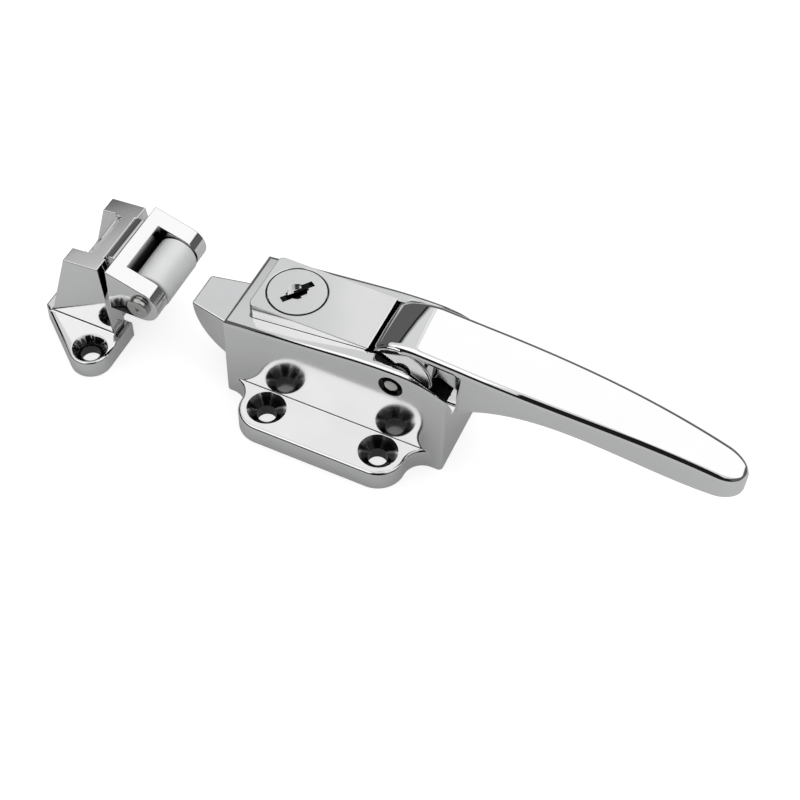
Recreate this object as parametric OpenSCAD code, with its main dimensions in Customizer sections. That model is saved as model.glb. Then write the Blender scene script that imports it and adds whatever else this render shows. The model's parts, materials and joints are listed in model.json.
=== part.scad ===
// Cold room door lock: a lever latch with a key lock, and the roller strike that its bolt slips under.
// Millimetres. The origin is the centre of the latch's four screw holes, on the face that meets the door.
// +Z leaves the door, +X runs along the handle to its tip, and the bolt points along -X at the strike.

/* [Housing] */
// Length of the housing, from the bolt end to the handle end
body_l = 84; // [82:0.5:90]
// Width of the housing over its side walls
body_w = 35.5; // [35:0.5:40]
// Distance from the bolt end to the centre of the screw holes
pattern_x = 41.5; // [40:0.5:43]
// Height of the side walls at their crown
crown_h = 43.5; // [43:0.5:47]
// Distance from the bolt end to the crown
crown_x = 66; // [64:0.5:68]
// Slope of the ramp that climbs from the bolt end, in degrees
ramp_angle = 7.3; // [6.5:0.1:8]
// Radius that turns the ramp into the crown
crown_r = 164; // [140:2:180]
// Height of the side walls at the handle end
tail_h = 38.3; // [37:0.1:40]
// Rounding along the top edges of the side walls
top_edge_r = 2; // [1:0.25:2.5]
// Rounding of the upright corners
corner_r = 1.5; // [1:0.25:2.5]
// Thickness of the cast walls
wall = 3.6; // [3:0.1:4.2]
// Height of the end wall under the handle
sill_h = 26.3; // [25:0.1:27]

/* [Raised pad] */
// Length of the pad that carries the key lock
pad_l = 45; // [42:0.5:45.5]
// Width of the pad
pad_w = 24.6; // [24:0.2:26]
// Height of the pad above the crown of the side walls
pad_rise = 0.7; // [0.5:0.1:1.5]
// Distance from the bolt end to the pad
pad_x = 7.6; // [7:0.1:8.5]
// Rounding of the pad's upright corners
pad_corner_r = 2; // [1:0.25:3]

/* [Mounting flanges] */
// Length of each flange along the housing
flange_l = 63; // [60:0.5:65]
// Distance from the centre plane to the flange's outer edge
flange_reach = 35; // [33:0.5:38]
// Thickness of the flanges
flange_t = 8.3; // [6:0.1:9]
// Radius of the flanges' outer corners, which sweep on into the hollows at the side walls
flange_corner_r = 10; // [9:0.5:11.5]
// Rounding along the flanges' top edge
flange_edge_r = 1.2; // [0.8:0.1:2]
// Distance between the screw holes along the housing
screw_dx = 43; // [40:0.5:44]
// Distance between the screw holes across the housing
screw_dy = 50; // [49:0.5:52]
// Diameter of the screw holes
screw_d = 7; // [5:0.1:7.5]
// Diameter of the countersinks
sink_d = 14; // [12:0.5:15]

/* [Handle] */
// Distance from the bolt end to the pivot
pivot_from_end = 63.5; // [63:0.25:64.5]
// Depth of the pivot below the crown of the side walls
pivot_drop = 7.6; // [7:0.1:8.5]
// Diameter of the pivot pin
pin_d = 6; // [5:0.1:6.5]
// Width of the handle where it leaves the housing
handle_w = 23.4; // [21:0.2:23.8]
// Radius of the rounded nose about the pivot
nose_r = 12.8; // [12.2:0.1:13.1]
// Length of the handle from the pivot to its tip
handle_l = 118.7; // [105:0.5:130]
// Width of the handle at its tip
tip_w = 13; // [11:0.5:16]
// Thickness of the handle at its tip
tip_t = 9.7; // [8:0.1:11]
// Thickness of the plate that covers the pivot
cover_t = 3.5; // [3:0.1:4.5]
// Width of the neck under that plate
neck_w = 17; // [14:0.5:20]
// Rounding along the handle's edges
handle_edge_r = 1.8; // [1.2:0.1:2.2]
// Radius of the tip's corners
tip_corner_r = 5.4; // [4:0.1:5.4]
// How far the handle pulls out from the door, in degrees
pull_angle = 25; // [15:1:25]
// Thickness of the bushes in the handle's bore
bush_t = 1; // [0.8:0.1:1.5]

/* [Bolt] */
// How far the bolt stands out of the housing
bolt_out = 18.2; // [15:0.2:18.8]
// Width of the bolt where it leaves the housing
bolt_w = 22; // [20:0.5:23]
// Width of the bolt at its tip
bolt_tip_w = 14.4; // [12:0.2:18]
// Height of the bolt's flat face above the door
bolt_top = 27; // [26:0.1:27.2]
// Diameter of the spring behind the bolt
spring_d = 9; // [8:0.1:9.4]
// Diameter of the spring's wire
wire_d = 1.1; // [0.8:0.05:1.3]
// Number of turns in the spring
spring_turns = 9; // [6:1:10]

/* [Key lock] */
// Distance from the bolt end to the key lock
lock_from_end = 20.25; // [19.5:0.25:21]
// Diameter of the key plug's face
face_d = 20.6; // [19:0.1:21]
// Width of the dark gap around that face
face_gap = 0.43; // [0.3:0.01:0.6]
// Diameter of the key plug
plug_d = 12; // [11.5:0.1:12.5]
// Diameter of the barrel that the plug turns in
barrel_d = 18; // [17.5:0.1:18.5]
// Length of the key slot
key_l = 13; // [11:0.2:14]
// Width of the key slot
key_w = 2.4; // [2:0.1:2.8]
// Direction of the key slot, in degrees from the handle
key_angle = 53; // [0:1:90]
// Number of wafers in the plug
wafer_count = 4; // [3:1:4]

/* [Strike] */
// Gap between the housing's bolt end and the strike's near edge
strike_gap = 42.2; // [41:0.1:60]
// Distance between the strike's screw holes
strike_dy = 55.8; // [53:0.2:60]
// Diameter of the strike's countersinks
strike_sink_d = 13.5; // [12:0.5:14.5]
// Radius of the ears around those holes
ear_r = 7.7; // [7.3:0.1:9]
// Thickness of the strike's flange
strike_flange_t = 7.6; // [6:0.1:9]
// Length of the strike along the bolt's line
strike_l = 32.8; // [31:0.2:36]
// Width of the strike's flange at its far edge
strike_far_w = 34; // [32:0.5:38]
// Height of the strike's block
block_h = 38; // [36:0.5:39]
// Width of the block at its top
block_w = 34; // [33:0.2:36]
// Draft of the block's sides, in degrees
block_draft = 3; // [0:0.5:4]
// Fall of the block's top toward its back, in degrees
top_fall = 6; // [3:0.5:8]
// Width of the notch in the block's back
notch_w = 20.4; // [18:0.2:21]
// Thickness of the web between the notch and the groove
web_t = 6.7; // [5:0.1:7]
// Depth of the groove that guides the roller's fork
groove_depth = 8.1; // [7.5:0.1:9]
// Width of that groove
groove_w = 21.6; // [20:0.2:22]

/* [Roller] */
// Diameter of the roller
roller_d = 15; // [14.6:0.1:16]
// Distance of the roller's axle from the groove's floor
axle_reach = 17.4; // [17:0.1:20]
// Height of the roller's axle above the door frame
axle_h = 28.2; // [27:0.1:29]
// Diameter of the roller's axle
axle_d = 5.6; // [5:0.1:6.5]
// Radius of the fork's rounded nose
fork_nose_r = 7.2; // [6.8:0.1:7.3]
// Width of the fork over its arms
fork_w = 35.6; // [34:0.2:38]
// Width of the pocket between the arms
pocket_w = 21.6; // [20:0.2:22]
// Slope of the fork's top face, in degrees
fork_slope = 17; // [14:0.5:18]
// How far the fork slides up and down for adjustment, each way
adjust = 4; // [2:0.5:4]
// Diameter of the clamp screw
clamp_d = 6; // [5:0.5:6]

/* [Fits] */
// Gap between pieces that move past each other
run_gap = 0.3; // [0.25:0.05:0.4]
// Gap round a turning pin
pin_gap = 0.04; // [0.02:0.01:0.08]
// Gap between pieces that are seated or pressed together
seat_gap = 0.02; // [0.01:0.01:0.05]

/* [Hidden] */
$fn = 64;
bore_fn = 48;
chrome = "silver";
steel = "lightslategray";
brass = "goldenrod";
cut = 1;

// Housing lines
bolt_end = -pattern_x;
handle_end = bolt_end + body_l;
half_w = body_w / 2;
crown_at = bolt_end + crown_x;
ramp_top_x = crown_at - crown_r * sin(ramp_angle);
ramp_top_z = crown_h - crown_r * (1 - cos(ramp_angle));
tail_run = body_l - crown_x;
tail_drop = crown_h - tail_h;
tail_r = (tail_run * tail_run + tail_drop * tail_drop) / (2 * tail_drop);
rail_depth = 18;
tail_depth = min(rail_depth, 0.9 * tail_r);
pad_h = crown_h + pad_rise;
pad_start = bolt_end + pad_x;

// Pivot and handle lines
pivot_x = bolt_end + pivot_from_end;
pivot_z = crown_h - pivot_drop;
pad_end = pad_start + pad_l;
slot_r = norm([pivot_x - pad_end, pad_h - pivot_z]);
slot_side = 0.7;
slot_w = max(handle_w + 2 * slot_side, pad_w + slot_side / 2);
flare_yaw = 16;
flare_tilt = 27;
flare_back = 7.5;
flare_x = pivot_x - flare_back;
pin_sink_d = 1.5 * pin_d;
pin_sink = 1.3;
heel_gap = 0.8;
heel_x = handle_end + heel_gap;
heel_clear = 0.4;
heel_z = sill_h + heel_clear;
tip_x = pivot_x + handle_l;
hub_cut = 8;
bush_r = pin_d / 2 + pin_gap + bush_t;

// Nose arc, then a tangent climb to the crest, then the long run to the heel
climb_angle = 18;
nose_end = [pivot_x - nose_r * sin(climb_angle), pivot_z + nose_r * cos(climb_angle)];
crest_x = pivot_x + 2.5;
crest_z = nose_end[1] + (crest_x - nose_end[0]) * tan(climb_angle);
crest_soft = 1.6;
heel_rise = 13;
heel_top = pivot_z + heel_rise;
run_slope = (crest_z - heel_top) / (heel_x - crest_x);
heel_swell = 0.6;
waist_in = 2.1;
finger_lift = 21.3;
run_dip = 2.9;
tip_fall = 0.9;
tip_drop = 3.7;
tip_mid = pivot_z - tip_drop;

// Bolt and its drive
bolt_bottom = bolt_top - bolt_out;
push_up = 5.6;
push_z = bolt_bottom + push_up;
arm_r = (pivot_z - push_z) / cos(pull_angle / 2);
arm_tip_r = 2.8;
arm_w = 8;
arm_t = 6.5;
arm_end_t = 3.8;
travel = 2 * arm_r * sin(pull_angle / 2);
arm_rest_x = pivot_x - arm_r * sin(pull_angle / 2);
bar_over = 1.6;
bar_h = push_up + bar_over;
bar_t = 3.6;
cross_x = arm_rest_x + arm_tip_r + run_gap;
cross_t = 4;
block_l = 23;
spring_up = 9;
spring_z = bolt_bottom + spring_up;
spring_pocket = 18;
pocket_floor = bolt_end + block_l - spring_pocket;
rib_clear = 3.5;
rib_x = bolt_end + block_l + travel + rib_clear;
rib_t = 4;
rib_w = 13;
guide_d = spring_d - 2 * wire_d - 1.6;
guide_out = 20;

// Back plate
plate_t = 2;
plate_lip = 2.2;
rail_top = bolt_bottom - run_gap;
well_half = 8.5;
rail_w = half_w - wall - well_half;
chamber_top = bolt_top + 0.6;
plate_screw_d = 3;
plate_screw_l = 6;
plate_screw_head = 5.6;
plate_screw_in = 9;
plate_screw_x = [bolt_end + plate_screw_in, handle_end - plate_screw_in];
plate_screw_y = half_w - wall - rail_w / 2;

// Key lock heights
lock_x = bolt_end + lock_from_end;
face_t = 2.2;
barrel_top = pad_h - face_t - run_gap;
roof_t = 8.2;
roof_z = pad_h - roof_t;
nut_t = 3;
chamber_r = barrel_d / 2 + 2.5;
cam_t = 2;
cam_screw_head_t = 1.2;
cam_clear = 0.78;
cam_bottom = bolt_top + cam_clear + cam_screw_head_t + seat_gap;
cam_top = cam_bottom + cam_t;
barrel_bottom = cam_top + run_gap;
cam_reach = chamber_r - 0.7;
tail_w = 6;
cam_screw_d = 4;
cam_screw_head = 6.8;
wafer_t = 1;
wafer_pitch = 1.6;
wafer_gap = 0.06;
wafer_w = 4.8;
wafer_l = 2 * sqrt(pow(plug_d / 2 - 0.1, 2) - pow(wafer_w / 2, 2));
wafer_z0 = barrel_top - 1.5;
keyway_z = wafer_z0 - wafer_count * wafer_pitch;
cam_screw_reach = 4.2;

// Strike lines
strike_near = bolt_end - strike_gap;
strike_far = strike_near - strike_l;
ear_x = strike_near - ear_r;
groove_floor = strike_near - groove_depth;
web_back = groove_floor - web_t;
notch_depth = 6.4;
block_back = web_back - notch_depth;
block_back_lean = 8.2 / 30.5;
lip_top = groove_floor + 0.9;
lip_lean = 0.13;
back_top = block_h - (lip_top - block_back) * tan(top_fall);
notch_corner_r = 1.6;
notch_bevel = 2.2;
notch_bevel_drop = 1.6;

// Fork and roller
axle_x = groove_floor + axle_reach;
tongue_back = groove_floor + 0.1;
shoulder_x = groove_floor + 4.6;
tongue_w = groove_w - 2 * run_gap;
pocket_back = axle_x - roller_d / 2 - run_gap;
fork_bottom = axle_h - fork_nose_r;
fork_top_z = axle_h + (fork_nose_r + (axle_x - shoulder_x) * sin(fork_slope)) / cos(fork_slope);
tongue_top = fork_top_z - 0.6;
tongue_bevel = 1.3;
roller_l = pocket_w - 2 * run_gap;
rivet_d = axle_d + 3;
rivet_out = 2;
clamp_z = axle_h - 1.7;
clamp_head_d = 1.6 * clamp_d;
clamp_head_t = 0.4 * clamp_d;
washer_d = 2 * clamp_d;
washer_t = 1.2;

// Shapes that repeat

// A drawing in X and Z, thickened across the centre plane
module across(w) {
    rotate([90, 0, 0]) translate([0, 0, -w / 2]) linear_extrude(w) children();
}

// A cylinder along Y, centred on the centre plane
module cross_rod(x, z, r, w) {
    translate([x, 0, z]) rotate([90, 0, 0]) cylinder(r = r, h = w, center = true);
}

// A cylinder along X, from x0 to x1
module long_rod(x0, x1, z, r) {
    translate([x0, 0, z]) rotate([0, 90, 0]) cylinder(r = r, h = x1 - x0);
}

// A box given by its ends along X and Z, centred on the centre plane
module mid_box(x0, x1, w, z0, z1) {
    translate([x0, -w / 2, z0]) cube([x1 - x0, w, z1 - z0]);
}

// A rectangle with round corners, from x0 to x1
module round_rect(x0, x1, w, r) {
    translate([x0 + r, -w / 2]) square([x1 - x0 - 2 * r, w]);
    translate([x0, r - w / 2]) square([x1 - x0, w - 2 * r]);
    for (x = [x0 + r, x1 - r], y = [r - w / 2, w / 2 - r]) translate([x, y]) circle(r);
}

// A countersunk screw hole that opens at height z
module sunk_hole(x, y, z, d, head_d) {
    depth = (head_d - d) / 2;
    translate([x, y, -cut]) cylinder(d = d, h = z + 2 * cut, $fn = bore_fn);
    translate([x, y, z - depth]) cylinder(d1 = d, d2 = head_d, h = depth, $fn = bore_fn);
    translate([x, y, z]) cylinder(d = head_d, h = 2 * crown_h, $fn = bore_fn);
}

// Section of a plate of thickness t, with its edge at zero and the top corner of that edge round
module plate_section(width, t, r) {
    translate([r, 0]) square([width - r, t]);
    square([width, t - r]);
    translate([r, t - r]) circle(r);
}

// A straight piece of plate: its edge starts at a point and faces a direction in degrees
module plate_bar(at, facing, length, width, t, r) {
    translate([at[0], at[1], 0]) rotate([90, 0, facing + 180]) linear_extrude(length)
        plate_section(width, t, r);
}

// A round corner of plate about a point, from one direction through a sweep in degrees
module plate_corner(at, radius, from, sweep, t, r) {
    translate([at[0], at[1], 0]) rotate([0, 0, from]) rotate_extrude(angle = sweep)
        translate([radius, 0]) mirror([1, 0]) plate_section(radius, t, r);
}

// Handle outline: a cubic curve through four values
function cubic(t, a, b, c, d) =
    pow(1 - t, 3) * a + 3 * t * pow(1 - t, 2) * b + 3 * t * t * (1 - t) * c + pow(t, 3) * d;

// A closed loft through rings that all have the same number of points
module loft(rings) {
    n = len(rings[0]);
    last = len(rings) - 1;
    points = [for (ring = rings) each ring];
    sides = [for (i = [0:last - 1], j = [0:n - 1])
        let (k = (j + 1) % n) [i * n + j, (i + 1) * n + j, (i + 1) * n + k, i * n + k]];
    caps = [[for (j = [0:n - 1]) j], [for (j = [n - 1:-1:0]) last * n + j]];
    polyhedron(points, concat(sides, caps), convexity = 6);
}

// One ring of the handle: a rectangle in Y and Z with round corners
function ring(x, half, z0, z1, r_top, r_low) = [
    for (q = [0:3], a = [0:22.5:90])
        let (sy = q == 0 || q == 3 ? 1 : -1,
             top = q < 2,
             r = top ? r_top : r_low,
             turn = q * 90 + a)
        [x, sy * (half - r) + r * cos(turn), (top ? z1 - r : z0 + r) + r * sin(turn)]];

// Latch housing

// Section of the upper side walls, measured down from the top edge
module rail_section(depth) {
    translate([-depth, -half_w]) square([depth - top_edge_r, body_w]);
    translate([-depth, top_edge_r - half_w]) square([depth, body_w - 2 * top_edge_r]);
    for (y = [top_edge_r - half_w, half_w - top_edge_r]) translate([-top_edge_r, y]) circle(top_edge_r);
}

module ramp_sweep() {
    translate([ramp_top_x, 0, ramp_top_z]) rotate([0, -90 - ramp_angle, 0])
        linear_extrude(crown_x) rail_section(rail_depth);
}

module arc_sweep(r, from, sweep, depth) {
    translate([crown_at, 0, crown_h - r]) rotate([90, 0, 0]) rotate([0, 0, from])
        rotate_extrude(angle = sweep, $fn = 4 * $fn) translate([r, 0]) rail_section(depth);
}

// Side view that rounds the ramp off at the bolt end
module end_view() {
    centre_x = bolt_end + top_edge_r;
    centre_z = ramp_top_z - (ramp_top_x - centre_x) * tan(ramp_angle) - top_edge_r / cos(ramp_angle);
    touch = [centre_x - top_edge_r * sin(ramp_angle), centre_z + top_edge_r * cos(ramp_angle)];
    translate([centre_x, centre_z]) circle(top_edge_r);
    polygon([[bolt_end - cut, 0], [bolt_end - cut, centre_z], [centre_x, centre_z], touch,
        [touch[0], 2 * crown_h], [handle_end + cut, 2 * crown_h], [handle_end + cut, 0]]);
}

module body_form() {
    upright = 90;
    intersection() {
        linear_extrude(pad_h) round_rect(bolt_end, handle_end, body_w, corner_r);
        across(body_w + cut) end_view();
        union() {
            ramp_sweep();
            arc_sweep(crown_r, upright, ramp_angle, rail_depth);
            arc_sweep(tail_r, 0, upright, tail_depth);
            mid_box(bolt_end, handle_end, body_w, 0, max(sill_h, crown_h - tail_depth));
        }
    }
    linear_extrude(pad_h) round_rect(pad_start, pivot_x, pad_w, pad_corner_r);
}

// One flange, on the side of +Y: a bar, two round corners, and the hollows that lead into the side wall
module flange() {
    straight = flange_l / 2 - flange_corner_r;
    corner_y = flange_reach - flange_corner_r;
    hollow_r = corner_y - half_w;
    hollow_w = norm([hollow_r + flange_edge_r, hollow_r]) - hollow_r;
    plate_bar([straight, flange_reach], 90, 2 * straight, flange_reach, flange_t, flange_edge_r);
    for (end = [0, 1]) mirror([end, 0, 0]) {
        plate_corner([straight, corner_y], flange_corner_r, 0, 90, flange_t, flange_edge_r);
        translate([straight, 0, 0]) cube([flange_corner_r - flange_edge_r, corner_y, flange_t]);
        translate([flange_l / 2 + hollow_r, corner_y, 0]) rotate([0, 0, 180]) rotate_extrude(angle = 90)
            translate([hollow_r, 0]) plate_section(hollow_w, flange_t, flange_edge_r);
    }
}

// Space for the bolt and its drive, with the rails that carry them and the rib that holds the spring
module works_space() {
    inner_w = body_w - 2 * wall;
    difference() {
        mid_box(bolt_end + wall, handle_end - wall, inner_w, plate_t - cut, chamber_top);
        for (y = [-1, 1]) translate([bolt_end, y > 0 ? inner_w / 2 - rail_w : -inner_w / 2 - cut, plate_t])
            cube([body_l, rail_w + cut, rail_top - plate_t]);
        mid_box(rib_x, rib_x + rib_t, rib_w, bolt_bottom, chamber_top + cut);
    }
    linear_extrude(plate_t) round_rect(bolt_end + plate_lip, handle_end - plate_lip,
        body_w - 2 * plate_lip, corner_r);
    long_rod(rib_x - cut, rib_x + rib_t + cut, spring_z, guide_d / 2 + seat_gap);
    for (x = plate_screw_x, y = [-plate_screw_y, plate_screw_y])
        translate([x, y, 0]) cylinder(d = plate_screw_d, h = plate_screw_l + 0.3, $fn = bore_fn);
}

// Slot for the handle: round about the pivot, open at the top and at the handle end
module handle_slot() {
    cross_rod(pivot_x, pivot_z, slot_r, slot_w);
    mid_box(pivot_x, handle_end + cut, slot_w, sill_h, 2 * crown_h);
    for (side = [0, 1]) mirror([0, side, 0]) intersection() {
        translate([flare_x, -slot_w / 2, crown_h]) rotate([0, 0, -flare_yaw]) rotate([flare_tilt, 0, 0])
            translate([0, 0, -body_w]) cube([2 * tail_run + body_w, slot_w / 2, 2 * body_w]);
        mid_box(pivot_x - slot_r, handle_end + cut, 2 * body_w, sill_h, 2 * crown_h);
    }
}

module lock_bores() {
    translate([lock_x, 0, barrel_top]) cylinder(d = face_d + 2 * face_gap, h = crown_h);
    translate([lock_x, 0, roof_z - cut]) cylinder(d = barrel_d + 2 * seat_gap, h = crown_h);
    translate([lock_x, 0, chamber_top - cut]) cylinder(r = chamber_r, h = roof_z - chamber_top + cut);
}

module latch_housing() {
    color(chrome) difference() {
        union() {
            body_form();
            for (side = [0, 1]) mirror([0, side, 0]) flange();
        }
        works_space();
        handle_slot();
        lock_bores();
        mid_box(bolt_end - cut, bolt_end + wall + cut, bolt_w + 2 * run_gap, rail_top, bolt_top + run_gap);
        cross_rod(pivot_x, pivot_z, pin_d / 2 + seat_gap, body_w + cut);
        for (side = [-1, 1]) translate([pivot_x, side * half_w, pivot_z]) rotate([side * 90, 0, 0])
            cylinder(d1 = pin_sink_d, d2 = pin_d, h = pin_sink);
        for (x = [-1, 1], y = [-1, 1])
            sunk_hole(x * screw_dx / 2, y * screw_dy / 2, flange_t, screw_d, sink_d);
    }
}

module back_plate() {
    lip = plate_lip + seat_gap;
    color(steel) difference() {
        linear_extrude(plate_t) round_rect(bolt_end + lip, handle_end - lip, body_w - 2 * lip, corner_r);
        for (x = plate_screw_x, y = [-plate_screw_y, plate_screw_y]) translate([x, y, 0]) {
            translate([0, 0, -cut]) cylinder(d = plate_screw_d + 0.4, h = plate_t + 2 * cut, $fn = bore_fn);
            cylinder(d1 = plate_screw_head + 0.2, d2 = plate_screw_d + 0.4, h = plate_screw_head / 4,
                $fn = bore_fn);
        }
    }
}

module back_plate_screws() {
    head_h = (plate_screw_head - plate_screw_d) / 2;
    shank_d = plate_screw_d - 2 * seat_gap;
    color(steel) for (x = plate_screw_x, y = [-plate_screw_y, plate_screw_y]) translate([x, y, 0])
        difference() {
            union() {
                cylinder(d1 = plate_screw_head, d2 = shank_d, h = head_h, $fn = bore_fn);
                cylinder(d = shank_d, h = plate_screw_l, $fn = bore_fn);
            }
            translate([-plate_screw_head / 2, -0.4, -cut]) cube([plate_screw_head, 0.8, cut + 0.6]);
        }
}

// Handle

module handle_pin() {
    end_d = pin_d - 1;
    color(steel) {
        cross_rod(pivot_x, pivot_z, pin_d / 2, body_w - 2 * pin_sink);
        for (side = [-1, 1]) translate([pivot_x, side * (half_w - pin_sink), pivot_z])
            rotate([-side * 90, 0, 0]) cylinder(d1 = pin_d, d2 = end_d, h = pin_sink - 0.2);
    }
}

module handle_bushes() {
    gap = 1;
    color("ivory") for (side = [-1, 1]) translate([pivot_x, 0, pivot_z]) rotate([side * 90, 0, 0])
        translate([0, 0, gap]) difference() {
            cylinder(r = bush_r, h = handle_w / 2 - gap);
            translate([0, 0, -cut]) cylinder(d = pin_d + 2 * pin_gap, h = handle_w);
        }
}

// How far a round corner of radius r falls away, at a distance d from its end
function corner_drop(r, d) = r - sqrt(max(0, r * r - pow(max(0, r - d), 2)));

// Grip: wide at the heel, waisted underneath for the fingers, and a slab with round corners at the tip
function grip_ring(x) =
    let (span = tip_x - heel_x,
         t = (x - heel_x) / span,
         drop = corner_drop(handle_edge_r, tip_x - x),
         half = cubic(t, handle_w / 2, handle_w / 2 + heel_swell, handle_w / 2 - waist_in, tip_w / 2)
             - corner_drop(tip_corner_r, tip_x - x),
         low = cubic(t, heel_z, heel_z + finger_lift, heel_z, tip_mid - tip_t / 2) + drop / 2,
         tip_top = tip_mid + tip_t / 2 - tip_fall,
         top = cubic(t, heel_top, heel_top - run_slope * span / 3, heel_top - run_dip, tip_top) - drop,
         edge = min(handle_edge_r, half - 0.2))
    ring(x, half, low, top, edge, min(edge, cubic(t, 0.6, 0.8, 1.2, handle_edge_r)));

module grip() {
    rows = 20;
    last = tip_x - tip_corner_r;
    body_rings = [for (i = [0:rows]) grip_ring(heel_x + (last - heel_x) * i / rows)];
    tip_rings = [for (a = [15:15:90]) grip_ring(last + tip_corner_r * sin(a))];
    loft(concat(body_rings, tip_rings));
}

// Top line of the cover plate: the climb from the nose, the rounded crest and the run to the heel
function cover_z(x) =
    let (climb = nose_end[1] + (x - nose_end[0]) * tan(climb_angle),
         run = crest_z - (x - crest_x) * run_slope,
         blend = max(0, crest_soft - abs(climb - run)))
    min(climb, run) - blend * blend / (4 * crest_soft);

module cover() {
    steps = 18;
    loft([for (i = [0:steps])
        let (x = nose_end[0] + (heel_x + cut - nose_end[0]) * i / steps, z = cover_z(x))
        ring(x, handle_w / 2, z - cover_t, z, min(handle_edge_r, cover_t / 2), 0.5)]);
}

module drive_arm() {
    translate([pivot_x, 0, pivot_z]) rotate([0, pull_angle / 2, 0])
        across(arm_w) polygon([[-arm_t / 2, 0], [arm_t / 2, 0], [arm_end_t / 2, -arm_r],
            [-arm_end_t / 2, -arm_r]]);
}

module handle() {
    color(chrome) difference() {
        union() {
            grip();
            cover();
            intersection() {
                cross_rod(pivot_x, pivot_z, nose_r, handle_w);
                mid_box(pivot_x - nose_r, pivot_x + nose_r, handle_w, pivot_z - hub_cut, pivot_z + nose_r);
            }
            mid_box(pivot_x, heel_x + cut, neck_w, heel_z, crest_z - cover_t);
            drive_arm();
            cross_rod(pivot_x - arm_r * sin(pull_angle / 2), push_z, arm_tip_r, arm_w);
        }
        cross_rod(pivot_x, pivot_z, bush_r + seat_gap, handle_w + cut);
    }
}

// Bolt and its spring

module bolt() {
    half = bolt_w / 2;
    color(chrome) difference() {
        union() {
            intersection() {
                across(bolt_w) intersection() {
                    translate([bolt_end, bolt_top]) circle(bolt_out, $fn = 2 * $fn);
                    translate([bolt_end - bolt_out, bolt_bottom]) square([bolt_out, bolt_out]);
                }
                linear_extrude(bolt_top) polygon([[bolt_end - bolt_out, -bolt_tip_w / 2], [bolt_end, -half],
                    [bolt_end, half], [bolt_end - bolt_out, bolt_tip_w / 2]]);
            }
            mid_box(bolt_end, bolt_end + block_l, bolt_w, bolt_bottom, bolt_top);
            difference() {
                mid_box(bolt_end, cross_x + cross_t, bolt_w, bolt_bottom, bolt_bottom + bar_h);
                mid_box(bolt_end, cross_x, bolt_w - 2 * bar_t, 0, bolt_top);
            }
        }
        long_rod(pocket_floor, bolt_end + block_l + cut, spring_z, spring_d / 2 + 0.4);
    }
}

module bolt_spring() {
    sides = 6;
    steps = 14;
    x0 = pocket_floor + wire_d / 2 + 0.1;
    length = rib_x - wire_d / 2 - 0.1 - x0;
    coil_r = (spring_d - wire_d) / 2;
    color(steel) loft([for (i = [0:spring_turns * steps])
        let (a = 360 * i / steps, x = x0 + length * i / (spring_turns * steps))
        [for (j = [0:sides - 1]) let (b = 360 * j / sides, r = coil_r + wire_d / 2 * cos(b))
            [x + wire_d / 2 * sin(b), r * cos(a), spring_z + r * sin(a)]]]);
}

module spring_guide() {
    color(steel) {
        long_rod(rib_x - guide_out, rib_x + rib_t, spring_z, guide_d / 2);
        long_rod(rib_x + rib_t + seat_gap, rib_x + rib_t + 1.2, spring_z, guide_d / 2 + 1);
        long_rod(rib_x + rib_t - cut, rib_x + rib_t + 1.2, spring_z, guide_d / 2);
    }
}

// Key lock

module at_lock(z) {
    translate([lock_x, 0, z]) children();
}

module lock_barrel() {
    color(brass) at_lock(barrel_bottom) difference() {
        cylinder(d = barrel_d, h = barrel_top - barrel_bottom);
        translate([0, 0, -cut]) cylinder(d = plug_d + 2 * pin_gap, h = pad_h);
    }
}

module barrel_nut() {
    color(steel) at_lock(roof_z - nut_t) difference() {
        cylinder(r = chamber_r - 0.5, h = nut_t, $fn = 6);
        translate([0, 0, -cut]) cylinder(d = barrel_d + 2 * seat_gap, h = nut_t + 2 * cut);
    }
}

// Key slot: two halves set off to each side of the middle, and the round well where they meet
module key_slot(depth) {
    step = key_w / 3;
    for (turn = [0, 180]) rotate([0, 0, turn])
        translate([-0.6, step - key_w / 2, -depth]) cube([key_l / 2 + 0.6, key_w, depth + cut]);
}

module key_plug() {
    well_d = 6.8;
    well_depth = 1.5;
    color(chrome) at_lock(0) difference() {
        union() {
            translate([0, 0, pad_h - face_t]) cylinder(d = face_d, h = face_t);
            translate([0, 0, barrel_bottom]) cylinder(d = plug_d, h = pad_h - face_t - barrel_bottom + cut);
            translate([-tail_w / 2, -tail_w / 2, cam_bottom + 0.2]) cube([tail_w, tail_w, cam_t + 1]);
        }
        rotate([0, 0, key_angle]) {
            translate([0, 0, pad_h]) key_slot(face_t - 0.4);
            translate([0, 0, pad_h - well_depth]) cylinder(d = well_d, h = face_t);
            translate([-wafer_l / 2 + 1.5, -key_w / 2, keyway_z]) cube([wafer_l - 3, key_w, pad_h]);
            for (i = [0:wafer_count - 1]) translate([-plug_d, -wafer_w / 2 - wafer_gap,
                wafer_z0 - i * wafer_pitch - wafer_t - wafer_gap])
                cube([2 * plug_d, wafer_w + 2 * wafer_gap, wafer_t + 2 * wafer_gap]);
        }
        translate([0, 0, cam_bottom - cut])
            cylinder(d = cam_screw_d, h = cam_screw_reach + run_gap + cut, $fn = bore_fn);
    }
}

module wafers() {
    color(brass) at_lock(0) rotate([0, 0, key_angle])
        for (i = [0:wafer_count - 1]) translate([0, 0, wafer_z0 - i * wafer_pitch - wafer_t]) difference() {
            translate([-wafer_l / 2, -wafer_w / 2, 0]) cube([wafer_l, wafer_w, wafer_t]);
            translate([-wafer_l / 2 + 2.2 + 0.2 * i, -key_w / 2, -cut])
                cube([wafer_l - 4.6, key_w, wafer_t + 2 * cut]);
        }
}

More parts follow.
